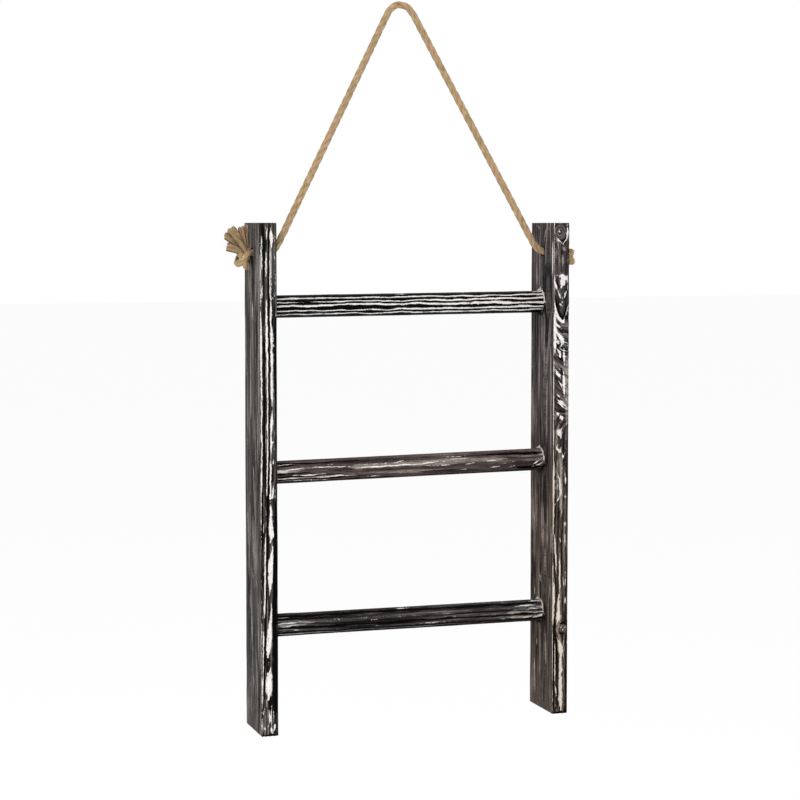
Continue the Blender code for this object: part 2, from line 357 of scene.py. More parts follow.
def charred_wood(name, upper, lower, washes_and_highlight=(WHITEWASH_AND_HIGHLIGHT, WHITEWASH_AND_HIGHLIGHT)):
    """Torched and brushed softwood with whitewash left in its grain.

    upper and lower are (dark, middle, pale) colours of the bare wood before and after COLOUR_TURN,
    and washes are the whitewash's colours there, which also colour painted highlights. The mesh
    carries these values: ring counts growth rings, along is the distance along the grain, brushed
    says how much the rings show, level how readily whitewash stays, and chalk, crack and veil are 1
    in the middle of a listed stroke of whitewash or painted highlight, of black or painted shade, or
    of pale film (partly painted light on the boards' front and back), and 0.5 at its edge.
    """
    wood = Shader(name)
    ring, along, brushed, level = wood.attributes("ring", "along", "brushed", "level")
    chalk_and_highlight, crack_and_shade, veil_and_light = wood.attributes("chalk_and_highlight", "crack_and_shade", "veil_and_light")

    def streaks(per_ring, per_metre, row, detail=3.0, roughness=0.6):
        """Noise drawn out along the grain, centred on zero."""
        spot = wood.vector(wood.times(ring, per_ring), wood.times(along, per_metre), row)
        return wood.less(wood.noise(spot, 1.0, detail, roughness), 0.5)

    fibre = streaks(7.0, 85.0, 0.0)
    flow = wood.plus(streaks(1.6, 14.0, 3.0), streaks(0.45, 9.0, 33.0))
    patch = streaks(0.9, 26.0, 8.0, 4.0)
    burn = streaks(1.1, 26.0, 14.0, 4.0, 0.65)
    haze = streaks(1.3, 10.0, 21.0)
    speck = streaks(11.0, 420.0, 27.0, 2.0)
    fleck = wood.plus(fibre, speck)

    # Black: the charred late wood of each ring, the cracks, and the painted shade round the rungs' sockets
    ragged = wood.plus(wood.plus(wood.times(fibre, 1.5), patch), wood.times(speck, 0.9))
    phase = wood.math("FRACT", wood.plus(ring, wood.times(fibre, 0.3)))
    late = wood.ramp(phase, (0.0, 0.95), (0.15, 0.0), (0.54, 0.0), (0.78, 1.0), (1.0, 0.95))
    grain = wood.span(wood.plus(late, wood.times(burn, 2.6)), 0.42, 0.66)
    grain = wood.times(grain, brushed)
    split = wood.span(wood.plus(crack_and_shade, wood.times(ragged, 0.55)), 0.42, 0.58)
    black = wood.math("MAXIMUM", wood.times(grain, 0.97), split)

    # White: the strokes of whitewash and of painted highlights, and what has settled in the early wood
    settled = wood.plus(wood.times(patch, 1.25), level)
    settled = wood.less(settled, wood.times(grain, 0.5))
    white = wood.plus(wood.math("MAXIMUM", chalk_and_highlight, settled), ragged)
    white = wood.span(wood.less(white, wood.times(split, 0.6)), 0.42, 0.60)

    # The bare wood under both
    lower_share = wood.span(along, *COLOUR_TURN)
    dark, middle, pale = (wood.mix(lower_share, high, low) for high, low in zip(upper, lower))
    ground = wood.mix(wood.span(flow, -0.14, 0.07), dark, middle)
    ground = wood.mix(wood.span(haze, 0.01, 0.16, 0.0, 0.95), ground, pale)
    # Pale film, which on the boards' front and back is partly painted light that lifts the front above the
    # sides
    film_and_light = wood.span(wood.plus(veil_and_light, wood.times(ragged, 0.5)), 0.15, 0.85)
    ground = wood.mix(film_and_light, ground, OLD_WHITEWASH_AND_LIGHT)
    grime = wood.span(fleck, -0.26, 0.10, 0.26, 1.0)
    ground = wood.mix(1.0, ground, wood.vector(grime, grime, grime), "MULTIPLY")

    ground = wood.mix(black, ground, CHAR_BLACK)
    wash_and_highlight = wood.mix(lower_share, *washes_and_highlight)
    chalky = wood.mix(wood.span(fleck, -0.24, 0.04, 0.75, 0.0), wash_and_highlight, OLD_WHITEWASH_AND_LIGHT)
    colour = wood.mix(wood.times(white, 0.97), ground, chalky)
    rough = wood.span(white, 0.0, 1.0, 0.56, 0.80)
    height = wood.less(wood.times(fibre, 0.8), wood.times(black, 0.35))
    return wood.finish(colour, rough, wood.bump(height, 0.6, 0.0005), specular=0.02)


# ---- wood

FRONT_SPACING = 0.00062  # between grain steps across a board's front and back
SIDE_SPACING = 0.0010  # and across its sides
BOARD_STEP = 0.0014  # and along it
CORNER = 0.0014  # how far a board's worn corners are rounded at most
KNOT_RING = 0.0032  # between the rings inside a wood knot
STROKE_TAPER = 0.009  # how far a stroke thins before it ends
FACE_REACH = 0.0009  # how far round a board's corner a face's own values reach
LOWER_HALF = (0.24, 0.32)  # how far below its top a board's upper values give way to the lower
SURFACE_GAP = 1e-6  # a point closer than this to the plain block's faces lies on them
FACE_RELIEF = 0.00030  # how deep the early wood is brushed out on the front and back
SIDE_RELIEF = 0.00022  # and on the sides
CRACK_DEPTH = 0.00045
FIBRE_DEPTH = 0.00012

# Strokes of whitewash (chalk), black (crack) and pale film (veil) on the boards, in millimetres.
# Each runs from spot to spot, and a spot is three numbers: below the board's top; across to the
# right or, on a side face, from its middle towards the front; and the stroke's half width there.
LEFT_FRONT_CRACK = (
    (0, 0.5, 0.7, 190, 0.4, 0.8, 255, 0.1, 0.8, 300, -1.2, 1, 340, -2.2, 1, 380, -2.8, 0.9, 420, -3.8, 0.9,
     460, -5.2, 0.9, 532, -7.4, 0.8),
    (0, -6.1, 0.4, 110, -6.1, 0.4, 150, -5.2, 0.6, 190, -5, 0.7, 255, -6, 0.6, 300, -7.5, 0.6,
     372, -8.5, 0.7, 440, -8.8, 0.6), (30, -4.6, 0.3, 190, -3.8, 0.4, 290, -4.8, 0.3),
    (85, 7.3, 0.5, 150, 7, 0.7, 230, 8.5, 1),
    (300, 7.5, 1.2, 380, 6.2, 1.8, 440, 5.8, 2.4, 520, 6.2, 2.2, 540, 6.5, 1),
    (478, -4, 0.6, 474, -1, 0.8, 477, 2.2, 0.6), (557.5, -9, 1, 557.5, 9, 1),
)
LEFT_FRONT_CHALK = (
    (12, -7.6, 0.6, 55, -7.7, 0.6), (68, -7.2, 0.8, 80, -7.4, 0.8),
    (98, -8.2, 0.4, 190, -8.1, 0.7, 290, -8.4, 0.6), (4, -1.4, 0.6, 22, -1.7, 0.6),
    (32, -2.6, 0.8, 58, -2.6, 1),
    (78, -2.2, 0.6, 115, -2.4, 1.2, 132, -2, 1, 150, -1.5, 0.9, 190, -1.4, 0.7, 255, -1.7, 0.6,
     300, -2.8, 0.6), (335, -4, 0.5, 350, -4.8, 0.8, 385, -4.8, 1, 405, -5, 0.9, 430, -6, 0.6),
    (440, -6.8, 0.5, 470, -7.2, 0.5, 528, -8.6, 0.5), (4, 2.2, 1, 15, 3.4, 2, 26, 3.6, 2.2),
    (26, 1.8, 0.8, 60, 1.5, 0.5, 76, 1.6, 0.6, 83, 3, 0.4, 79, 6.5, 0.4, 75, 8.8, 0.6),
    (85, 2.5, 1.4, 100, 2.6, 1.2, 108, 2.4, 0.6, 124, 3.4, 1.8, 131, 3.2, 1.2, 198, 3.4, 1.2),
    (130, 4.5, 0.6, 134, 7, 0.8), (202, 3.4, 1.2, 215, 3.4, 1.6, 228, 2.2, 0.7, 250, 2.2, 1),
    (237, 3, 0.5, 236, 6, 0.5), (256, 1.5, 0.9, 298, 1.2, 1, 297, 3.8, 0.7, 280, 4.8, 0.9),
    (256, 4.8, 0.9, 262, 4.8, 0.6), (300, 1.4, 0.6, 316, 1.8, 1.2, 328, 1.4, 2.2, 338, 2.6, 3, 346, 0.8, 2),
    (350, 3.4, 1.2, 358, 3.4, 1.4, 368, 1.6, 2.8, 385, 1, 2.8, 398, 0, 1.2, 404, -0.4, 0.5),
    (412, 2, 0.6, 425, 2, 0.9, 438, 0.6, 2, 455, -0.6, 2.6, 472, -2.2, 2),
    (482, 1.2, 1.2, 490, -0.4, 2.8, 505, -1, 3.4, 518, -1.8, 3.4),
    (526, -1.6, 0.5, 540, -0.2, 1, 548, -2, 0.9), (525, 2, 0.5, 538, 1, 0.7, 546, 2, 0.5),
    (544, 5.2, 0.7, 553, 4.8, 0.9), (548, 1, 0.5, 555, 1, 1), (530, 5.5, 0.4, 526, 4, 0.4),
    (535, -8, 0.4, 528, -6, 0.4), (548, -5.8, 0.6, 552, -5, 0.6), (70, 9, 0.6, 110, 9, 0.8),
    (262, 9.2, 0.5, 285, 9.2, 0.5),
)
LEFT_OUTER_VEIL = (
    (0, 28.5, 1, 190, 27, 0.9, 250, 29, 0.6), (86, 0.5, 2.2, 112, 3, 1.8), (50, -14, 0.8, 80, -13, 0.6),
    (170, -9, 1.2, 215, -9, 1), (266, 1, 1.8, 276, 3.6, 1.4, 318, 6.2, 0.8), (380, -6, 1, 400, 3, 0.7),
    (388, 12, 0.8, 400, 12.5, 0.6), (405, -13, 0.7, 430, -12, 0.9), (444, -8, 1.6, 455, -6, 1.4),
    (445, 32, 0.8, 485, 28, 1.2), (480, -12, 0.6, 545, -12, 0.7), (495, -0.5, 0.6, 512, -0.4, 0.8),
    (470, 12, 0.6, 550, 13, 0.6),
)
LEFT_OUTER_CHALK = (
    (88, 0.8, 0.8, 100, 2, 0.6), (267, 1.4, 0.6, 274, 3, 0.6),
)
RIGHT_FRONT_CRACK = (
    (14.5, -8, 0.5, 16.5, -5, 0.6, 20, 0, 0.7, 18, 4.4, 0.6, 11, 5.6, 0.5),
    (62, -7.2, 0.6, 69, -4.8, 1, 76, -1, 0.6),
    (78, -8.8, 1, 96, -5, 1.2, 105, -1.2, 1, 108, 1.6, 1.2, 98, 5.2, 1, 88, 8.6, 0.8),
    (109, -6, 0.6, 116, 0, 0.6), (117, -6.4, 0.6, 124, 1, 0.6, 127, 3.8, 0.4),
    (127, -5.8, 0.7, 133, -2.4, 0.5), (136, -6, 0.8, 143, -2.4, 0.6), (145, 0.6, 0.6, 156, 1, 0.6),
    (150, -6, 0.8, 157, 4, 0.9), (160, -7, 0.7, 164, 0, 0.8, 176, 1.2, 0.6), (176, -5.2, 0.6, 188, 1, 0.5),
    (195, -4.6, 0.5, 201, -1, 0.5), (209, -6, 0.6, 213, 1, 0.7, 213, 4.6, 0.4),
    (226, -4, 0.5, 229, 3.6, 0.5),
    (352, -9.4, 0.5, 385, -6.6, 0.5, 420, -5.2, 0.6, 445, -5.6, 0.8, 458, -7.8, 1, 559, -7.6, 0.6),
    (456, -2, 0.6, 454.5, 3, 1.2, 456, 8.5, 1), (466, -4, 1, 466.5, 3, 1, 466, 8.5, 0.8),
    (468, -6, 0.8, 485, -4.2, 0.7, 559, -2.2, 0.6), (380, 8.8, 0.4, 559, 8.8, 0.6),
    (557.5, -9, 1, 557.5, 9, 1),
)
RIGHT_FRONT_CHALK_AND_HIGHLIGHTS = (
    (1, 5.8, 0.4, 10, 6.8, 0.6, 18, 5.8, 0.6, 24, 1.2, 0.8),
    # The first two strokes on the next line are painted highlights on the domed wood knot: an arc round its
    # lower left rim and a dot at its centre.
    (16, -7.8, 0.5, 18.5, -5, 0.6, 22.5, -0.4, 0.6), (9.4, -3.8, 0.9, 9.4, -2.4, 0.9),
    (1, 9, 0.6, 30, 9.2, 0.4), (59, -6, 0.6, 60, 0, 1.6, 62, 3, 2, 68, 1.2, 2.4, 73, -0.8, 1.4),
    (58, -8.4, 0.5, 66, -8.4, 0.5, 72, -6.6, 0.7, 78, -3.6, 0.6), (78, -4.4, 0.5, 86, -0.6, 0.4),
    (90, -3.2, 0.4, 94, 0.6, 0.4), (76, 5.8, 0.6, 84, 3.4, 0.8),
    (83, -8.8, 0.5, 100, -6.8, 0.7, 107, -3, 0.5, 112, 2.2, 0.5, 105, 3.6, 0.5, 91, 9.2, 0.4),
    (98, -8, 1, 146, -7.8, 0.8), (104, -7, 1.2, 109, -1, 1.6, 113, 0.6, 1.2), (113, -7, 0.7, 119, 0, 0.8),
    (121, -7.4, 0.7, 129, -1, 1.2, 135, 2, 1.6, 139, -1, 0.8), (131, -7, 0.6, 137, -2, 0.6),
    (140, -7, 0.7, 147, -1.6, 0.8, 155, -1.2, 0.7), (141, 3, 0.5, 150, 3.4, 0.8, 162, 4, 0.6),
    (165, -7, 0.7, 172, -3, 1, 175, -0.6, 0.7), (168, 3, 0.8, 196, 3.6, 0.8), (178, -3.5, 0.5, 186, 1, 0.7),
    (193, -5, 0.6, 197, -1.4, 0.6), (199, -5, 0.6, 204, 1, 1.4, 206, 5.2, 1.2),
    (214, -4.6, 1, 218, -2.4, 0.8), (217, -0.8, 1.2, 223, 2, 1.2), (232, 1.4, 0.8, 236, -2, 1.6, 243, 0, 2),
    (249, -3.4, 0.8, 254, -5, 0.8, 259, -1.4, 1, 253, 0.6, 0.6), (262, 1.4, 0.6, 266, 3.2, 0.7),
    (268, -8.8, 0.4, 300, -8.8, 0.8, 345, -8.6, 0.6),
    (284, -4.4, 0.6, 290, -1, 0.8, 305, 0, 0.9, 312, -2, 0.6, 319, -7.8, 0.5),
    (286, 5.6, 0.5, 296, 5.8, 0.7), (308, 5.2, 0.8, 312, 5.6, 0.8), (338, 5, 1, 344, 5.4, 0.9),
    (352, 5.4, 0.4, 368, 5.4, 0.5), (352, -7.8, 0.6, 375, -6.2, 0.9, 396, -5, 0.7),
    (391, -4, 0.5, 392, -0.6, 0.4), (356, -0.4, 0.5, 362, 0, 0.6),
    (374, -0.8, 0.6, 400, -0.4, 0.7, 425, -0.8, 0.4),
    (404, -7.8, 0.6, 430, -8, 0.8, 445, -8.6, 1.2, 456, -9.2, 0.8),
    (421, -2, 1.4, 440, -2.2, 1.4, 450, -2.4, 2.4, 456, -5, 0.7), (424, 5.6, 0.6, 434, 6.4, 1),
    (460.5, -2, 0.5, 458.5, 3, 0.5, 460, 8, 0.4), (462.5, 3.2, 0.5, 462, 4.4, 0.6),
    (470, -4, 0.5, 476, -0.8, 1.4, 486, 1, 2, 492, 0.6, 1, 515, 0.6, 1.8, 555, 1.4, 1.8),
    (470, -6.4, 0.4, 505, -6.4, 0.5, 514, -6.4, 0.8, 520, -6, 0.6), (526, -5.2, 0.5, 538, -4.4, 0.6),
    (540, -8.6, 0.5, 546, -8, 0.6),
)
RIGHT_FRONT_VEIL = (
    (28, -7, 0.7, 40, -7, 0.7), (27, 0.8, 1.4, 31, 4, 1.4), (36, 1.4, 1, 50, 1.2, 0.8),
    (150, 7, 1.6, 230, 7.2, 1.2), (262, -2, 2.4, 330, 1, 2),
)
RIGHT_INNER_VEIL = (
    (2, -16, 1, 8, -8, 0.6), (4, 12, 1, 12, 8, 1, 24, 4, 0.8), (20, 30, 1.4, 65, 29.5, 1.2),
    (46, -17, 1, 74, -16.5, 1.2), (140, 25, 1.2, 190, 27, 1.2, 262, 26, 0.8), (180, 15, 1.2, 250, 13, 0.8),
    (190, -30, 1, 245, -29, 0.6), (210, -24, 0.6, 240, -23.5, 0.6), (328, -25, 0.8, 350, -20, 1),
    (345, 29, 1.2, 375, 29, 1), (402, -4, 2, 412, -3, 1.2), (405, 26, 1, 430, 26.5, 0.8),
    (420, -20, 1.2, 432, -19.5, 1), (480, -13, 1.4, 488, -13, 0.8), (470, 13, 1, 505, 15, 1),
    (505, -20, 1.2, 545, -20, 1.2),
)
RIGHT_INNER_CHALK = (
    (22, 30, 0.7, 60, 29.6, 0.6),
)

# Each board's grain. Ring widths are at the front face; cathedral is where the arched grain starts
# and ends below the top; a knot is (below the top, across, half width, half height). level, spread
# (how broadly chalk is drawn) and brushed are (upper half, lower half).
# A board's film is a pale film over its front and back, partly old whitewash and partly painted light that
# makes the front lighter than the sides.
BOARDS = {
    "left": {
        "seed": 3, "front_ring": 0.0052, "side_ring": 0.0050, "cathedral": None, "knots": (),
        "level": (0.14, 0.14), "film_and_light": 0.04, "spread": (0.95, 1.00), "brushed": (0.80, 0.80),
        "front": {"crack_and_shade": LEFT_FRONT_CRACK, "chalk_and_highlight": LEFT_FRONT_CHALK},
        "outer": {"veil_and_light": LEFT_OUTER_VEIL, "chalk_and_highlight": LEFT_OUTER_CHALK},
    },
    "right": {
        "seed": 11, "front_ring": 0.0056, "side_ring": 0.0054, "cathedral": (0.096, 0.235),
        "knots": ((0.0105, -0.0022, 0.0072, 0.0085), (0.4620, 0.0034, 0.0048, 0.0055)),
        "level": (0.15, 0.05), "film_and_light": 0.20, "spread": (1.75, 1.20), "brushed": (0.50, 0.85),
        "front": {"crack_and_shade": RIGHT_FRONT_CRACK, "chalk_and_highlight": RIGHT_FRONT_CHALK_AND_HIGHLIGHTS, "veil_and_light": RIGHT_FRONT_VEIL},
        "inner": {"veil_and_light": RIGHT_INNER_VEIL, "chalk_and_highlight": RIGHT_INNER_CHALK},
    },
}
SIDE_BRUSHED = 0.20  # brushed and level on the boards' sides and ends
SIDE_LEVEL = -0.10
KNOT_BRUSHED = 0.85  # brushed and veil in a wood knot
KNOT_VEIL = 0.36


def ring_relief(ring, depth):
    """How deep the brushed-out early wood lies below the hard late wood."""
    phase = ring - np.floor(ring)
    return depth * smoothstep(0.02, 0.22, phase) * (1 - smoothstep(0.62, 0.86, phase))


def inside_strokes(along, across, strokes, spread):
    """1 on the line of the nearest stroke, 0.5 at its edge, and less from there out."""
    inside = np.zeros(len(along))
    for stroke in strokes:
        spots = MM * np.reshape(stroke, (-1, 3))
        passed = 0
        lengths = [math.dist(start[:2], end[:2]) for start, end in zip(spots, spots[1:])]
        taper = min(STROKE_TAPER, 0.4 * sum(lengths))
        for start, end, length in zip(spots, spots[1:], lengths):
            down, over = end[0] - start[0], end[1] - start[1]
            share = ((along - start[0]) * down + (across - start[1]) * over) / (down**2 + over**2)
            share = np.clip(share, 0, 1)
            apart = np.hypot(along - start[0] - share * down, across - start[1] - share * over)
            so_far = passed + share * length
            full = np.clip(np.minimum(so_far, sum(lengths) - so_far) / taper, 0.3, 1)
            half_width = full * spread * (start[2] + share * (end[2] - start[2]))
            passed += length
            inside = np.maximum(inside, 1 - 0.5 * apart / half_width)
    return inside


def board_rings(grain, across, depth, below):
    """The count of growth rings at points of a board, and how far each point is inside a knot."""
    seed = grain["seed"]
    wander = layered_noise(stack(across * 40, depth * 30, below * 7), seed, 2) - 0.5
    ripple = noise(stack(across * 120, depth * 80, below * 30), seed + 5) - 0.5
    near_front = np.exp(-depth / 0.009)
    pushed = across.copy()
    for drop, offset, half_width, half_height in grain["knots"]:
        away = across - offset
        apart = np.hypot(away / half_width, (below - drop) / half_height)
        pushed = pushed - away * np.exp(-((apart / 1.8) ** 2)) * near_front
    ring = pushed / grain["front_ring"] + depth / grain["side_ring"] + 1.5 * wander + 0.35 * ripple
    if grain["cathedral"]:
        start, end = grain["cathedral"]
        inside = smoothstep(start, start + 0.012, below) * (1 - smoothstep(end - 0.03, end, below))
        climb = np.clip(below, start, end) / 0.0100
        ring = ring + near_front * (climb - inside * across * 250)
    knotty = np.zeros(len(across))
    for drop, offset, half_width, half_height in grain["knots"]:
        apart = np.hypot((across - offset) / half_width, (below - drop) / half_height)
        inside = (1 - smoothstep(0.92, 1.08, apart)) * near_front
        ring = ring * (1 - inside) + inside * (apart * half_width / KNOT_RING + 0.3)
        knotty = np.maximum(knotty, inside)
    return ring, knotty


def board_grain(side, points, low, high):
    """Every value that charred_wood reads, at points of a board's surface."""
    grain = BOARDS[side]
    seed = grain["seed"]
    across = points[:, 0] - (low[0] + high[0]) / 2
    depth = points[:, 1] - low[1]
    below = high[2] - points[:, 2]
    from_back = high[1] - points[:, 1]
    half_thick = (high[0] - low[0]) / 2
    outer = SIDES[side] * half_thick
    ring, knotty = board_rings(grain, across, depth, below)

    def near(distance):
        return smoothstep(2 * FACE_REACH, FACE_REACH, distance)

    def down_the_board(kind):
        upper, lower = grain[kind]
        return upper + (lower - upper) * smoothstep(*LOWER_HALF, below)

    masks = {
        "front": near(depth), "inner": near(np.abs(across + outer)), "outer": near(np.abs(across - outer)),
    }
    broad = np.maximum(masks["front"], near(from_back))
    values = {
        "ring": ring, "along": below, "chalk_and_highlight": np.zeros(len(points)), "crack_and_shade": np.zeros(len(points)),
        # The veil starts from the board's film on its front and back, partly painted light.
        "veil_and_light": grain["film_and_light"] * broad,
        "brushed": SIDE_BRUSHED + (down_the_board("brushed") - SIDE_BRUSHED) * broad,
        "level": SIDE_LEVEL + (down_the_board("level") - SIDE_LEVEL) * broad,
    }
    wobble = 0.0007 * (noise(stack(below * 260, across * 150, depth * 150), seed + 60) - 0.5)
    for face, mask in masks.items():
        sideways = across if face == "front" else (high[1] - low[1]) / 2 - depth
        for kind, strokes in grain.get(face, {}).items():
            spread = down_the_board("spread") if kind == "chalk_and_highlight" else 1.25
            drawn = inside_strokes(below, sideways + wobble, strokes, spread)
            values[kind] = np.maximum(values[kind], mask * drawn)
    values["brushed"] = values["brushed"] * (1 - knotty) + KNOT_BRUSHED * knotty
    values["level"] = values["level"] - 0.5 * knotty
    values["veil_and_light"] = np.maximum(values["veil_and_light"], KNOT_VEIL * knotty)

    # The long corners: whitewash on the front's left one, and charring on the others
    corner = np.abs(np.abs(across) - half_thick) + np.minimum(depth, from_back)
    patchy = 0.35 + 0.9 * noise(stack(below * 55, across * 60, 0), seed + 2)
    chalky = (depth < 0.005) & (across < 0)
    washed = patchy * 0.75 * np.exp(-((corner / 0.0010) ** 2)) * chalky
    burnt = (0.35 + 0.6 * patchy) * np.exp(-((corner / 0.0013) ** 2)) * ~chalky
    values["chalk_and_highlight"] = np.maximum(values["chalk_and_highlight"], washed)
    values["crack_and_shade"] = np.maximum(values["crack_and_shade"], burnt)
    return values


def rung_ends(node):
    """The centres of a rung's two ends, read from its frame node."""
    points = read_points(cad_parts[node].data)
    low, high = points[:, 0].min(), points[:, 0].max()
    tip = 0.002
    return (points[points[:, 0] < low + tip].mean(axis=0), points[points[:, 0] > high - tip].mean(axis=0))


RUNGS = ("top_rung", "middle_rung", "bottom_rung")
RUNG_LINES = {node: rung_ends(node) for node in RUNGS}
RUNG_RADIUS = 0.0127
SOCKET_CLEARANCE = 0.0003
SOCKET_DEPTH = 0.012


def rung_point(node, x):
    """The point on a rung's centre line at x."""
    start, end = RUNG_LINES[node]
    return start + (end - start) * ((x - start[0]) / (end[0] - start[0]))


def bore_board(item, side, inner_x):
    """Cut the rope's hole and the rungs' sockets."""
    sign = SIDES[side]
    rod_ends = ((sign * x, BOARD_Y, HOLE_Z) for x in ROPE_HOLE_ENDS)
    cutters = [rod_object("hole", *rod_ends, ROPE_HOLE_RADIUS)]
    for node in RUNGS:
        mouth = rung_point(node, inner_x - sign * SOCKET_DEPTH)
        floor = rung_point(node, inner_x + sign * SOCKET_DEPTH)
        cutters.append(rod_object("socket", mouth, floor, RUNG_RADIUS + SOCKET_CLEARANCE))
    bore(item, cutters)


def build_board(side, material):
    low, high = (np.array(corner) for corner in RAIL_BOXES[side])
    xs = steps_between(low[0], high[0], FRONT_SPACING, CORNER)
    ys = steps_between(low[1], high[1], SIDE_SPACING, CORNER)
    zs = steps_between(low[2], high[2], BOARD_STEP, CORNER)
    points, quads = block_surface(xs, ys, zs)
    item = mesh_object(side + "_rail_wood", points, quads)
    inner_x = SIDES[side] * (OUTER_X - (high[0] - low[0]))
    bore_board(item, side, inner_x)

    points = read_points(item.data)
    values = board_grain(side, points, low, high)
    surface = np.minimum(points - low, high - points).min(axis=1) < SURFACE_GAP
    below = values["along"]
    seed = BOARDS[side]["seed"]

    # Rounded corners: each point moves along outward, from the block shrunk by the corner's radius
    wear = layered_noise(stack(below * 45, points[:, 0] * 90, points[:, 1] * 90), seed + 20, 2)
    corner = CORNER * (0.45 + 0.55 * wear)[:, None]
    inner = np.clip(points, low + corner, high - corner)
    outward = points - inner
    length = np.linalg.norm(outward, axis=1)[:, None]
    outward = np.divide(outward, length, out=np.zeros_like(outward), where=length > 1e-9)

    on_face = np.abs(outward[:, 0]) < 0.5
    relief = ring_relief(values["ring"], np.where(on_face, FACE_RELIEF, SIDE_RELIEF))
    relief = relief + CRACK_DEPTH * smoothstep(0.35, 0.7, values["crack_and_shade"])
    relief = relief * (1 - 0.7 * smoothstep(0.4, 0.6, values["chalk_and_highlight"]))
    fibres = stack(points[:, 0] * 500, points[:, 1] * 500, below * 60)
    relief = relief + FIBRE_DEPTH * layered_noise(fibres, seed + 31, 2)

    # Round each rung's socket a ragged rim of whitewash, and painted shade beyond it, heavier below the
    # rung
    inner_side = np.abs(points[:, 0] - inner_x) < 0.001
    for node in RUNGS:
        centre = rung_point(node, inner_x)
        forward, up = centre[1] - points[:, 1], points[:, 2] - centre[2]
        from_rung = np.hypot(forward, up) - RUNG_RADIUS
        angle = np.arctan2(up, forward)
        round_it = stack(np.cos(angle) * 4, np.sin(angle) * 4, 0)
        reach = 0.0005 + 0.0062 * layered_noise(round_it, seed + 40, 3) ** 2
        rim = (1 - 0.5 * from_rung / reach) * inner_side
        # Painted shade where the rung meets the board, heavier below it, drawn with the black of the
        # cracks.
        socket_shade = np.exp(-((from_rung / 0.006) ** 2)) * inner_side * (0.35 + 0.3 * (up < 0))
        values["chalk_and_highlight"] = np.maximum(values["chalk_and_highlight"], rim)
        values["crack_and_shade"] = np.maximum(values["crack_and_shade"], socket_shade)
        relief = relief * (1 - 0.8 * np.clip(rim, 0, 1))

    moved = inner + outward * (corner - relief[:, None])
    write_points(item.data, np.where(surface[:, None], moved, points))
    item.data.shade_smooth()
    put_values(item.data, values)
    item.data.materials.clear()
    item.data.materials.append(material)
    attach(item, "ladder")
    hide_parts(side + "_rail")


# The rungs' strokes, with three numbers to a spot too: from the rung's left end; round from its
# front line, upwards; and the half width.
TOP_RUNG_CRACK = (
    (0, 12, 1.2, 80, 12.8, 1, 346, 12.4, 1.2),
    (0, 6.2, 1, 30, 7.2, 0.7, 160, 6.6, 1, 270, 8, 0.6, 300, 7.6, 1, 332, 7, 1.2),
    (0, 3, 0.6, 50, 4.4, 1.1, 110, 3.6, 0.6, 346, 3.2, 0.7),
    (0, -3, 1.4, 60, -2.2, 1.6, 150, -1.2, 1, 270, -2.4, 0.8, 305, -1.6, 1, 336, -3, 1.3),
    (0, -7.8, 0.8, 70, -7, 1, 346, -7.2, 0.7), (0, -15, 3, 346, -14.6, 3.4),
)
TOP_RUNG_CHALK = (
    (0, 9.4, 0.8, 40, 9.8, 1, 90, 9.4, 0.6, 346, 10.2, 1.2),
    (0, 4.5, 0.6, 24, 5.2, 0.8, 100, 5, 1, 346, 5.2, 0.9),
    (0, -0.2, 1.2, 22, 0.4, 1.3, 70, 1.4, 1, 200, 0.8, 1, 290, 0, 1.8, 320, -0.4, 1.4, 346, -0.4, 0.8),
    (0, -5.6, 0.6, 60, -5, 0.7, 200, -4.6, 1, 280, -5.2, 1.4, 316, -5, 1.5, 346, -5.4, 1.2),
    (0, -10.2, 0.6, 60, -9.8, 0.6, 200, -9.4, 0.9, 346, -9.2, 1), (318, 6, 0.8, 334, 2, 1),
    (322, -2, 0.7, 334, -6, 1.1),
)
MIDDLE_RUNG_CRACK = (
    (12, 12.4, 1.2, 60, 11, 0.8, 120, 12, 0.6), (12, 7.8, 0.6, 45, 8.6, 0.5),
    (12, -1.8, 0.7, 36, -0.6, 0.6, 60, -1.2, 0.4), (12, -5, 0.8, 60, -4.6, 0.6, 110, -5.2, 0.4),
    (12, -8.6, 0.9, 80, -8.4, 0.7, 130, -7.8, 0.4),
    (12, -13, 1.6, 120, -12.8, 1, 220, -13, 0.8, 346, -13, 1.4), (180, -6.8, 0.4, 230, -6, 0.4),
    (260, 10.4, 0.6, 300, 10, 1.2, 334, 10, 2), (296, -7, 0.6, 320, -8, 1.8, 334, -8.6, 2.4),
)
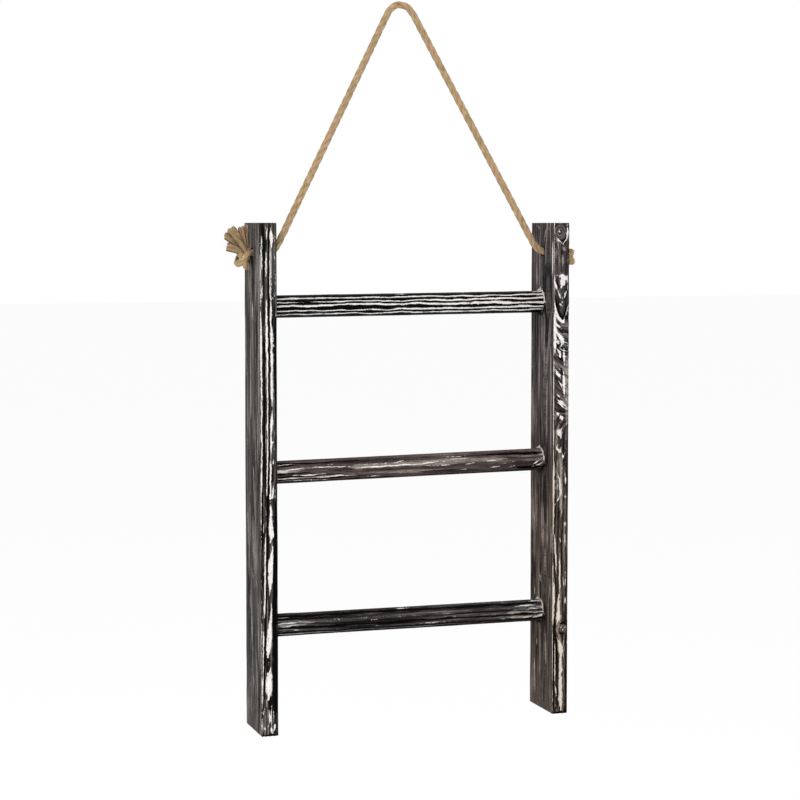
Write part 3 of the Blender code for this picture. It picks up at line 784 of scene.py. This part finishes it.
MIDDLE_RUNG_CHALK = (
    (13, 3, 1.4, 24, 2.6, 1.6, 36, 4.4, 0.7, 52, 5.8, 0.4), (13, -0.2, 1, 26, 0.2, 0.9, 34, 1, 0.4),
    (14, 9.8, 0.4, 40, 9.6, 0.4), (30, -3.2, 0.4, 75, -3, 0.4), (16, -6.8, 0.4, 50, -6.6, 0.4),
    (60, -7, 0.4, 100, -6.4, 0.4), (30, -10.8, 0.4, 84, -10.2, 0.4),
    (55, 6, 0.4, 85, 4.6, 0.3, 104, 3.6, 0.4), (74, 7.6, 0.4, 84, 8, 0.4),
    (104, 2, 0.4, 140, 2.2, 0.7, 168, 2.8, 0.9, 186, 3.4, 0.5, 214, 4.2, 0.3), (118, 5.2, 0.3, 123, 6, 0.4),
    (128, 4.4, 0.3, 134, 6, 0.4), (142, 4.8, 0.3, 147, 6.2, 0.4), (152, 5.2, 0.3, 168, 7.8, 0.6),
    (122, -9.2, 0.3, 140, -8.8, 0.4), (216, 9, 0.3, 240, 9.8, 0.4), (222, 5.8, 0.4, 240, 6.2, 0.5),
    (206, 0.8, 0.3, 222, 1.4, 0.4), (238, 0.2, 0.4, 250, 1, 0.5), (262, 2.2, 0.4, 278, 3.2, 0.5),
    (232, -6.4, 0.3, 244, -6.2, 0.5), (268, -4.6, 0.4, 280, -4, 0.5),
    (308, 7.8, 0.4, 322, 9.4, 1, 332, 8.6, 0.8), (314, -8.4, 0.6, 326, -6, 1, 334, -1, 1),
    (320, -4, 0.5, 330, 1, 0.7),
)
MIDDLE_RUNG_VEIL = (
    (14, 1, 2.6, 50, 4, 1.6), (100, 3, 2, 220, 4.4, 2.2, 290, 4, 1.2), (14, -7, 2, 110, -6, 1.2),
)
BOTTOM_RUNG_CRACK = (
    (12, 12, 1.4, 334, 12, 1.4), (12, -2, 1, 34, -1.8, 1.4, 346, -1.6, 0.6),
    (12, -8.6, 1.2, 50, -8, 1.2, 346, -8.6, 0.8), (12, -13, 1.6, 334, -13, 1.4),
    (12, 8, 0.6, 100, 8.4, 0.5), (290, 3, 0.5, 330, 2, 0.6),
)
BOTTOM_RUNG_CHALK = (
    (16, 3.6, 0.6, 26, 4.6, 0.9, 46, 5, 0.6), (22, -0.4, 0.4, 36, 1.4, 0.7, 44, 2, 0.4),
    (14, 10, 0.4, 40, 9.8, 0.3), (36, -5.2, 0.4, 44, -5, 0.5), (14, -10.6, 0.4, 52, -10, 0.5),
    (300, 7.8, 0.4, 316, 8.6, 0.8, 326, 8, 0.4), (306, 2, 0.4, 318, 3.6, 0.6), (314, 6, 0.4, 330, 3, 0.6),
    (320, -1, 0.4, 331, 1, 0.5), (308, -6, 0.4, 322, -5, 0.6), (318, -8, 0.6, 334, -5, 0.9),
)
BOTTOM_RUNG_VEIL = (
    (290, 1, 2.6, 326, 2, 2.4), (14, 2, 2.4, 60, 3.4, 1.8), (290, -5, 1.6, 326, -5, 1.6),
)

# Each rung's grain. turn is how far its rings are turned round its axis, in radians, and its
# colours are (dark, middle, pale).
DOWELS = {
    "top_rung": {
        "seed": 21, "ring_width": 0.0050, "turn": 1.45, "level": 0.04, "brushed": 0.95,
        "colours": ((0.010, 0.008, 0.008), (0.040, 0.032, 0.031), (0.17, 0.15, 0.14)),
        "crack_and_shade": TOP_RUNG_CRACK, "chalk_and_highlight": TOP_RUNG_CHALK, "veil_and_light": (),
    },
    "middle_rung": {
        "seed": 27, "ring_width": 0.0056, "turn": 1.20, "level": -0.04, "brushed": 0.30,
        "colours": ((0.046, 0.033, 0.031), (0.105, 0.076, 0.071), (0.27, 0.215, 0.20)),
        "crack_and_shade": MIDDLE_RUNG_CRACK, "chalk_and_highlight": MIDDLE_RUNG_CHALK, "veil_and_light": MIDDLE_RUNG_VEIL,
    },
    "bottom_rung": {
        "seed": 33, "ring_width": 0.0052, "turn": 1.70, "level": 0.07, "brushed": 0.72,
        "colours": ((0.018, 0.015, 0.015), (0.074, 0.064, 0.062), (0.26, 0.235, 0.23)),
        "crack_and_shade": BOTTOM_RUNG_CRACK, "chalk_and_highlight": BOTTOM_RUNG_CHALK, "veil_and_light": BOTTOM_RUNG_VEIL,
    },
}
DOWEL_SIDES = 176
DOWEL_STEP = 0.0016
DOWEL_CHAMFER = 0.0008
DOWEL_SPREADS = {"crack_and_shade": 1.3, "chalk_and_highlight": 0.95, "veil_and_light": 1.0}


def build_rung(node):
    grain = DOWELS[node]
    seed, turn = grain["seed"], grain["turn"]
    start, end = RUNG_LINES[node]
    length = np.linalg.norm(end - start)
    axis = (end - start) / length
    up = np.array([0.0, 0.0, 1.0])
    up = up - axis * np.dot(up, axis)
    up /= np.linalg.norm(up)
    back = np.cross(up, axis)
    rows = steps_between(0.0, length, DOWEL_STEP, DOWEL_CHAMFER)
    round_it = np.linspace(-math.pi, math.pi, DOWEL_SIDES, endpoint=False)
    along, angle = (part.ravel() for part in np.meshgrid(rows, round_it, indexing="ij"))
    tilt, lift = -np.cos(angle), np.sin(angle)

    across = (tilt * math.cos(turn) + lift * math.sin(turn)) * RUNG_RADIUS
    deep = (-tilt * math.sin(turn) + lift * math.cos(turn)) * RUNG_RADIUS
    wander = layered_noise(stack(across * 60, deep * 60, along * 8), seed, 2) - 0.5
    ripple = noise(stack(across * 200, deep * 200, along * 35), seed + 5) - 0.5
    ring = across / grain["ring_width"] + 9 * deep**2 / 0.02 + 1.1 * wander + 0.3 * ripple + 8
    end_gap = np.minimum(along, length - along)
    near_board = np.exp(-(np.maximum(end_gap - SOCKET_DEPTH, 0) / 0.005) ** 2)
    blotch = noise(stack(tilt * 3, lift * 3, along * 40), seed + 3)
    values = {
        "ring": ring, "along": along, "brushed": np.full(len(ring), grain["brushed"]),
        "level": grain["level"] + 0.45 * near_board * blotch,
    }
    wobble = 0.0008 * (noise(stack(along * 220, tilt * 5, lift * 5), seed + 60) - 0.5)
    wobble = wobble + 0.0022 * (noise(stack(along * 55, tilt * 3, lift * 3), seed + 70) - 0.5)
    for kind, spread in DOWEL_SPREADS.items():
        values[kind] = inside_strokes(along, angle * RUNG_RADIUS + wobble, grain[kind], spread)

    radius = RUNG_RADIUS - np.maximum(DOWEL_CHAMFER - end_gap, 0)
    radius = radius - ring_relief(ring, 0.00030 * min(1, grain["brushed"] + 0.2))
    radius = radius - 0.0003 * smoothstep(0.4, 0.7, values["crack_and_shade"])
    radius = radius - 0.00010 * layered_noise(stack(tilt * 6, lift * 6, along * 60), seed + 9, 2)
    outward = back * tilt[:, None] + up * lift[:, None]
    points = start + axis * along[:, None] + outward * radius[:, None]
    item = mesh_object(node + "_wood", points, tube_faces(len(rows), DOWEL_SIDES))
    shape = bmesh.new()
    shape.from_mesh(item.data)
    bmesh.ops.recalc_face_normals(shape, faces=shape.faces)
    shape.to_mesh(item.data)
    shape.free()
    item.data.shade_smooth()
    put_values(item.data, values)
    item.data.materials.append(charred_wood("charred_" + node, grain["colours"], grain["colours"]))
    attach(item, "ladder")
    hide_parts(node)


# ---- rope

STRANDS = 3
LAY_LENGTH = 0.034  # one full turn of the strands
GROOVE = 0.23  # how deep the grooves between the strands go, as a share of the radius
GROOVE_SHADE = 0.38  # how much darker they are painted, as painted shade
YARNS = 24  # ridges of yarn right round the rope
ROPE_SIDES = 40
ROPE_STEP = 0.0011


def jute(name):
    """Dry twisted jute: fine fibres along each yarn, golden tan with paler and darker ones, darkened by the
    mesh's shade value as painted shade.
    """
    yarn = Shader(name)
    around, along, shade = yarn.attributes("around", "along", "shade")
    fibre = yarn.noise(yarn.vector(yarn.times(around, 5.0), yarn.times(along, 110.0), 0.0), 1.0, 3.0, 0.6)
    tone = yarn.noise(yarn.place(), 90.0, 3.0, 0.6)
    warmth = yarn.noise(yarn.place(), 70.0, 2.0, 0.5)
    colour = yarn.ramp(
        fibre, (0.30, (0.10, 0.054, 0.022)), (0.44, (0.34, 0.222, 0.106)),
        (0.56, (0.46, 0.325, 0.175)), (0.72, (0.74, 0.57, 0.36)),
    )
    colour = yarn.mix(yarn.span(tone, 0.40, 0.72, 0.0, 0.6), colour, (0.26, 0.195, 0.090))
    colour = yarn.mix(yarn.span(warmth, 0.46, 0.62, 0.0, 0.60), colour, (0.44, 0.262, 0.160))
    # Painted shade: the mesh's shade value darkens the colour in grooves, inner knot turns and fold
    # creases.
    colour = yarn.mix(yarn.span(shade, 0.0, 1.0), (0.045, 0.022, 0.008), colour)
    yarn.principled["Sheen Weight"].default_value = 0.2
    yarn.principled["Sheen Roughness"].default_value = 0.6
    return yarn.finish(colour, 0.9, yarn.bump(fibre, 0.7, 0.0004), specular=0.12)


def angles_along(line, sides):
    return np.tile(np.linspace(0, 2 * math.pi, sides, endpoint=False), len(line))


def points_round(line, sides, ahead, side, other):
    """Each point of a line as many times as there are sides, moved along it and square to it."""
    moves = stack(ahead, side, other)
    points = np.repeat(line, sides, axis=0)
    for way, move in zip(frames_along(line), moves.T):
        points = points + np.repeat(way, sides, axis=0) * move[:, None]
    return points


def tube(line, radius, sides, profile=None):
    """A closed tube's points and faces, with how far round and along it each point lies.

    profile gives the share of the radius at an angle and a distance along.
    """
    along = np.repeat(lengths_along(line), sides)
    angle = angles_along(line, sides)
    reach = radius * profile(angle, along) if profile else radius
    points = points_round(line, sides, 0, np.cos(angle) * reach, np.sin(angle) * reach)
    return points, tube_faces(len(line), sides), angle, along


def join_tubes(name, tubes, material):
    """One object from several tubes, each (points, faces, around, along, shade)."""
    faces = []
    count = 0
    for tube_points, tube_corners, *_ in tubes:
        faces += [tuple(corner + count for corner in face) for face in tube_corners]
        count += len(tube_points)
    points, _, around, along, shade = zip(*tubes)
    item = mesh_object(name, np.concatenate(points), faces)
    values = {"around": around, "along": along, "shade": shade}
    put_values(item.data, {kind: np.concatenate(numbers) for kind, numbers in values.items()})
    item.data.materials.append(material)
    return item


def groove_at(angle, along):
    """1 at the bottom of a groove between two of the rope's strands, and 0 on their crowns."""
    turn = angle - 2 * math.pi * along / LAY_LENGTH
    return (1 - np.abs(np.cos(STRANDS / 2 * turn))) ** 1.7


def laid_rope(line, radius, seed):
    """Three strands laid into one rope along a line, as a tube for join_tubes."""
    def profile(angle, along):
        yarn = (0.5 - 0.5 * np.cos(YARNS * angle + 3 * np.sin(along * 130))) ** 2
        rough = layered_noise(stack(np.cos(angle) * 3, np.sin(angle) * 3, along * 260), seed, 2) - 0.5
        return 1 - GROOVE * groove_at(angle, along) - 0.030 * yarn - 0.06 * rough
    points, faces, around, along = tube(line, radius, ROPE_SIDES, profile)
    # The shade value is painted shade, darker in the grooves between the strands.
    return points, faces, around, along, 1 - GROOVE_SHADE * groove_at(around, along)


def rope_place(across, rise):
    return (across, BOARD_Y + rise * math.sin(ROPE_LEAN), HOLE_Z + rise * math.cos(ROPE_LEAN))


def rope_route():
    left = [rope_place(-across, rise) for across, rise in HALF_ROUTE]
    right = [rope_place(across, rise) for across, rise in reversed(HALF_ROUTE[:-1])]
    return np.array(left + right)


# The overhand knot's centre line in millimetres: (out from the board, towards the front, up from
# the knot's middle)
KNOT_ROUTE = (
    (0.5, 0, 5), (5.8, -4, 6.6), (11.2, -6.2, 2.2), (15, -3.4, -3.2), (16, 2.2, -5), (13.2, 6.4, -3.2),
    (8.8, 7.8, 1.6), (5.6, 5, 5.8), (4.8, -1, 7.6), (4.8, -6.2, 4.6), (4.8, -7.6, -1.6),
    (5.2, -4, -6.8), (6.4, 2.2, -8), (8.8, 5.8, -6.2), (11.6, 7.2, 0), (14, 4, 5), (14.6, 3, 7),
)
KNOT_SPREAD = 1.06  # share by which the knot's route is drawn out around its middle
KNOT_LOW = 0.0058  # how far the knot's middle hangs below the hole
KNOT_OUT = 0.0088  # and how far it is out from the board
KNOT_DARK = (0.0055, 0.0112)  # how far from its middle the knot's painted shade fades out; its inner turns are darkest
KNOT_ROPE_RADIUS = 0.0041
KNOT_STEP = 0.0007


def knot_line(side):
    out, forward, up = MM * np.array(KNOT_ROUTE).T
    x, y = SIDES[side] * (OUTER_X + out), BOARD_Y - forward * KNOT_SPREAD
    return stack(x, y, HOLE_Z - KNOT_LOW + up * KNOT_SPREAD)


def build_rope(material):
    line = smooth_line(rope_route(), ROPE_STEP)
    rope = join_tubes("rope_strands", [laid_rope(line, ROPE_RADIUS, 50)], material)
    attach(rope, "hanger")
    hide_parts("rope")
    return rope, line


def build_knot(side, material):
    line = smooth_line(knot_line(side), KNOT_STEP)
    points, faces, around, along, shade = laid_rope(line, KNOT_ROPE_RADIUS, 70)
    middle = (SIDES[side] * (OUTER_X + KNOT_OUT), BOARD_Y, HOLE_Z - KNOT_LOW)
    # Painted shade: darker towards the knot's middle, where its turns press together.
    shade = shade * smoothstep(*KNOT_DARK, np.linalg.norm(points - middle, axis=1))
    knot = join_tubes(side + "_knot_strands", [(points, faces, around, along, shade)], material)
    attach(knot, "hanger")
    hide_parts(side + "_knot")
    return knot


# Folds of unlaid yarn at the rope's ends, in millimetres. Each is (start, bend, tip) in (out from the
# board, towards the front, up from the hole), its half width at the tip, how far it is curled, and
# how light it is painted, from 0 to 1, which sets its painted light and shade.
FOLDS = {
    "left": (
        (((8.5, 5, -1), (18.5, 7, 3.5), (30.2, 8, 7.5)), 4.8, 1.6, 1.0),
        (((9, 4, 1), (18.5, 6, 11), (30.5, 6, 20.5)), 4.8, -1.8, 0.9),
        (((9, 5, 1), (17, 8, 15), (27.2, 9, 27.8)), 5.2, 2, 1.0),
        (((8.5, 3, 2), (14, 4, 13), (20.5, 4, 25)), 3.4, -1.4, 0.8),
        (((8, 3, 2), (11, 5, 15), (14, 6, 28.5)), 3.8, 1.6, 0.95),
        (((7, 1, 2), (7.4, 3, 16), (8.2, 4, 31)), 4, -1.4, 0.85),
        (((8, 6, 0), (13.5, 9, 9), (21.5, 10, 18)), 3, 1, 0.9),
    ),
    "right": (
        (((8.5, -4, 0), (9.5, -13, 3), (11, -25, 5)), 4, 1.4, 1.0),
        (((8, -4, 1), (8.5, -12, 7), (9.5, -23, 12)), 4, -1.4, 0.85),
        (((7.5, -3, 2), (7.8, -10, 9.5), (8.5, -18.5, 18)), 3.6, 1.2, 0.95),
    ),
}
FOLD_SIDES = 44
FOLD_STEP = 0.0008
FOLD_START = 0.0030  # a fold's half width where it leaves the knot
FOLD_THICK = 0.0010  # half its thickness
STRAY_HAIRS = 26  # loose fibres at each end
HAIR_RADIUS = 0.00012
HAIR_SIDES = 5
HAIR_STEP = 0.0007


def pleated_fold(line, half_wide, curl, tone, seed):
    """A flat bundle of yarn that widens and curls from its start to its ragged tip."""
    share = np.repeat(np.linspace(0, 1, len(line)), FOLD_SIDES)
    angle = angles_along(line, FOLD_SIDES)
    over, through = np.cos(angle), np.sin(angle)
    width = FOLD_START + (half_wide - FOLD_START) * smoothstep(0.0, 1.0, share)
    thick = FOLD_THICK * (1.5 - 0.8 * share)
    through = np.sign(through) * np.abs(through) ** 0.6
    fibre = noise(stack(over * width * 2600, share * 2.5, seed), seed) - 0.5
    bend = curl * over**2 * share + 0.0004 * np.sin(over * 9 + seed) + 0.0004 * fibre
    ragged = 0.0042 * (noise(stack(over * width * 900, 0, seed), seed + 4) - 0.6) - 0.0016 * over**2
    length = ragged * smoothstep(0.35, 1.0, share)
    points = points_round(line, FOLD_SIDES, length, over * width, through * thick + bend)
    # Painted shade: darker in creases at the fold's edges and between its pleats, towards its start at the
    # knot, and where its tone is low.
    crease_shade = smoothstep(0.55, 1.0, np.abs(over)) * 0.75 + 0.7 * smoothstep(0.12, -0.35, fibre)
    shade = np.clip(1.2 * tone - crease_shade - 0.15 * (1 - share), 0, 1)
    faces = tube_faces(len(line), FOLD_SIDES)
    return points, faces, over * width * 1400, share * 0.03 + seed, shade


def stray_hair(fold, index):
    """The line of a loose fibre that springs from the outer half of a fold."""
    _, bend, tip = MM * np.array(fold)
    pick = lattice(np.array([[index, row, 0] for row in (1, 2, 3, 4)]), 9) - 0.5
    root = bend + (tip - bend) * (0.5 + 0.5 * pick[3])
    away = (tip - bend) / np.linalg.norm(tip - bend)
    reach = 0.0045 + 0.004 * pick[0]
    middle = root + away * reach * 0.6 + pick[:3] * 0.004
    end = root + away * reach + pick[[1, 2, 0]] * 0.009
    return smooth_line([root, middle, end], HAIR_STEP)


def build_rope_end(side, material):
    origin = np.array([OUTER_X, BOARD_Y, HOLE_Z])

    def in_place(line):
        return (origin + line * (1.0, -1.0, 1.0)) * (SIDES[side], 1, 1)

    tubes = []
    for index, (spots, half_wide, curl, tone) in enumerate(FOLDS[side]):
        line = in_place(smooth_line(MM * np.array(spots), FOLD_STEP))
        tubes.append(pleated_fold(line, MM * half_wide, MM * curl, tone, 90 + index))
    for index in range(STRAY_HAIRS):
        fold = FOLDS[side][index % len(FOLDS[side])][0]
        points, faces, around, along = tube(in_place(stray_hair(fold, index)), HAIR_RADIUS, HAIR_SIDES)
        tubes.append((points, faces, around, along + index, np.full(len(points), 0.9)))
    item = join_tubes(side + "_rope_fan", tubes, material)
    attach(item, "hanger")
    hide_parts(side + "_rope_end")
    return item


# ---- nails

def nail_steel():
    steel = Shader("dull_steel")
    speck = steel.noise(steel.place(), 900.0, 3.0, 0.6)
    colour = steel.ramp(speck, (0.35, (0.20, 0.17, 0.15)), (0.65, (0.50, 0.49, 0.47)))
    steel.principled["Metallic"].default_value = 1.0
    return steel.finish(colour, steel.span(speck, 0.3, 0.7, 0.55, 0.35))


def dress_nails():
    steel = nail_steel()
    for name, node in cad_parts.items():
        if name.endswith("_nail"):
            node.data.materials.clear()
            node.data.materials.append(steel)


# ---- stage

CAMERA_PLACE = (-0.7492, -2.2484, -0.2414)
CAMERA_YAW = 18.427  # degrees to the right of straight at the wall
CAMERA_PITCH = -3.696
LENS = 94.4
FLOOR_HALF = 30
FLOOR_Z = -1.45


def build_camera():
    data = bpy.data.cameras.new("camera")
    data.lens = LENS
    data.sensor_width = 36.0
    data.shift_y = -0.05
    camera = add_object("camera", data)
    camera.location = CAMERA_PLACE
    camera.rotation_euler = (math.pi / 2 + math.radians(CAMERA_PITCH), 0.0, -math.radians(CAMERA_YAW))
    bpy.context.scene.camera = camera


def soft_light(name, place, target, size, power):
    data = bpy.data.lights.new(name, "AREA")
    data.energy = power
    data.size = size
    light = add_object(name, data)
    light.location = place
    light.rotation_euler = (Vector(target) - Vector(place)).to_track_quat("-Z", "Y").to_euler()


def build_stage():
    corners = [(x * FLOOR_HALF, y * FLOOR_HALF, FLOOR_Z) for x, y in ((-1, -1), (1, -1), (1, 1), (-1, 1))]
    floor = mesh_object("floor", corners, [(0, 1, 2, 3)])
    floor.data.materials.append(Shader("pale_floor").finish((0.97, 0.97, 0.97), 0.95, specular=0.0))
    world = bpy.data.worlds.new("studio")
    bpy.context.scene.world = world
    world.use_nodes = True
    sky = world.node_tree.nodes["Background"].inputs
    sky["Color"].default_value = (1, 1, 1, 1)
    sky["Strength"].default_value = 1.0
    bpy.context.scene.view_settings.view_transform = "Standard"
    soft_light("key", (-1.6, -2.4, 1.2), (0, 0, -0.45), 1.4, 26)


def main():
    build_camera()
    build_stage()
    grey_wood = charred_wood(
        "charred_grey_board",
        ((0.014, 0.012, 0.011), (0.096, 0.084, 0.078), (0.37, 0.335, 0.31)),
        ((0.012, 0.010, 0.009), (0.084, 0.072, 0.066), (0.34, 0.305, 0.28)),
    )
    brown_wood = charred_wood(
        "charred_brown_board",
        ((0.012, 0.010, 0.011), (0.076, 0.062, 0.061), (0.29, 0.245, 0.245)),
        ((0.014, 0.010, 0.009), (0.092, 0.067, 0.056), (0.29, 0.225, 0.19)),
        washes_and_highlight=(WHITEWASH_AND_HIGHLIGHT, CREAM_WHITEWASH),
    )
    build_board("left", grey_wood)
    build_board("right", brown_wood)
    for node in RUNGS:
        build_rung(node)
    jute_fibre = jute("jute_fibre")
    rope, line = build_rope(jute_fibre)
    for side in SIDES:
        build_knot(side, jute_fibre)
        build_rope_end(side, jute_fibre)
    dress_nails()


main()
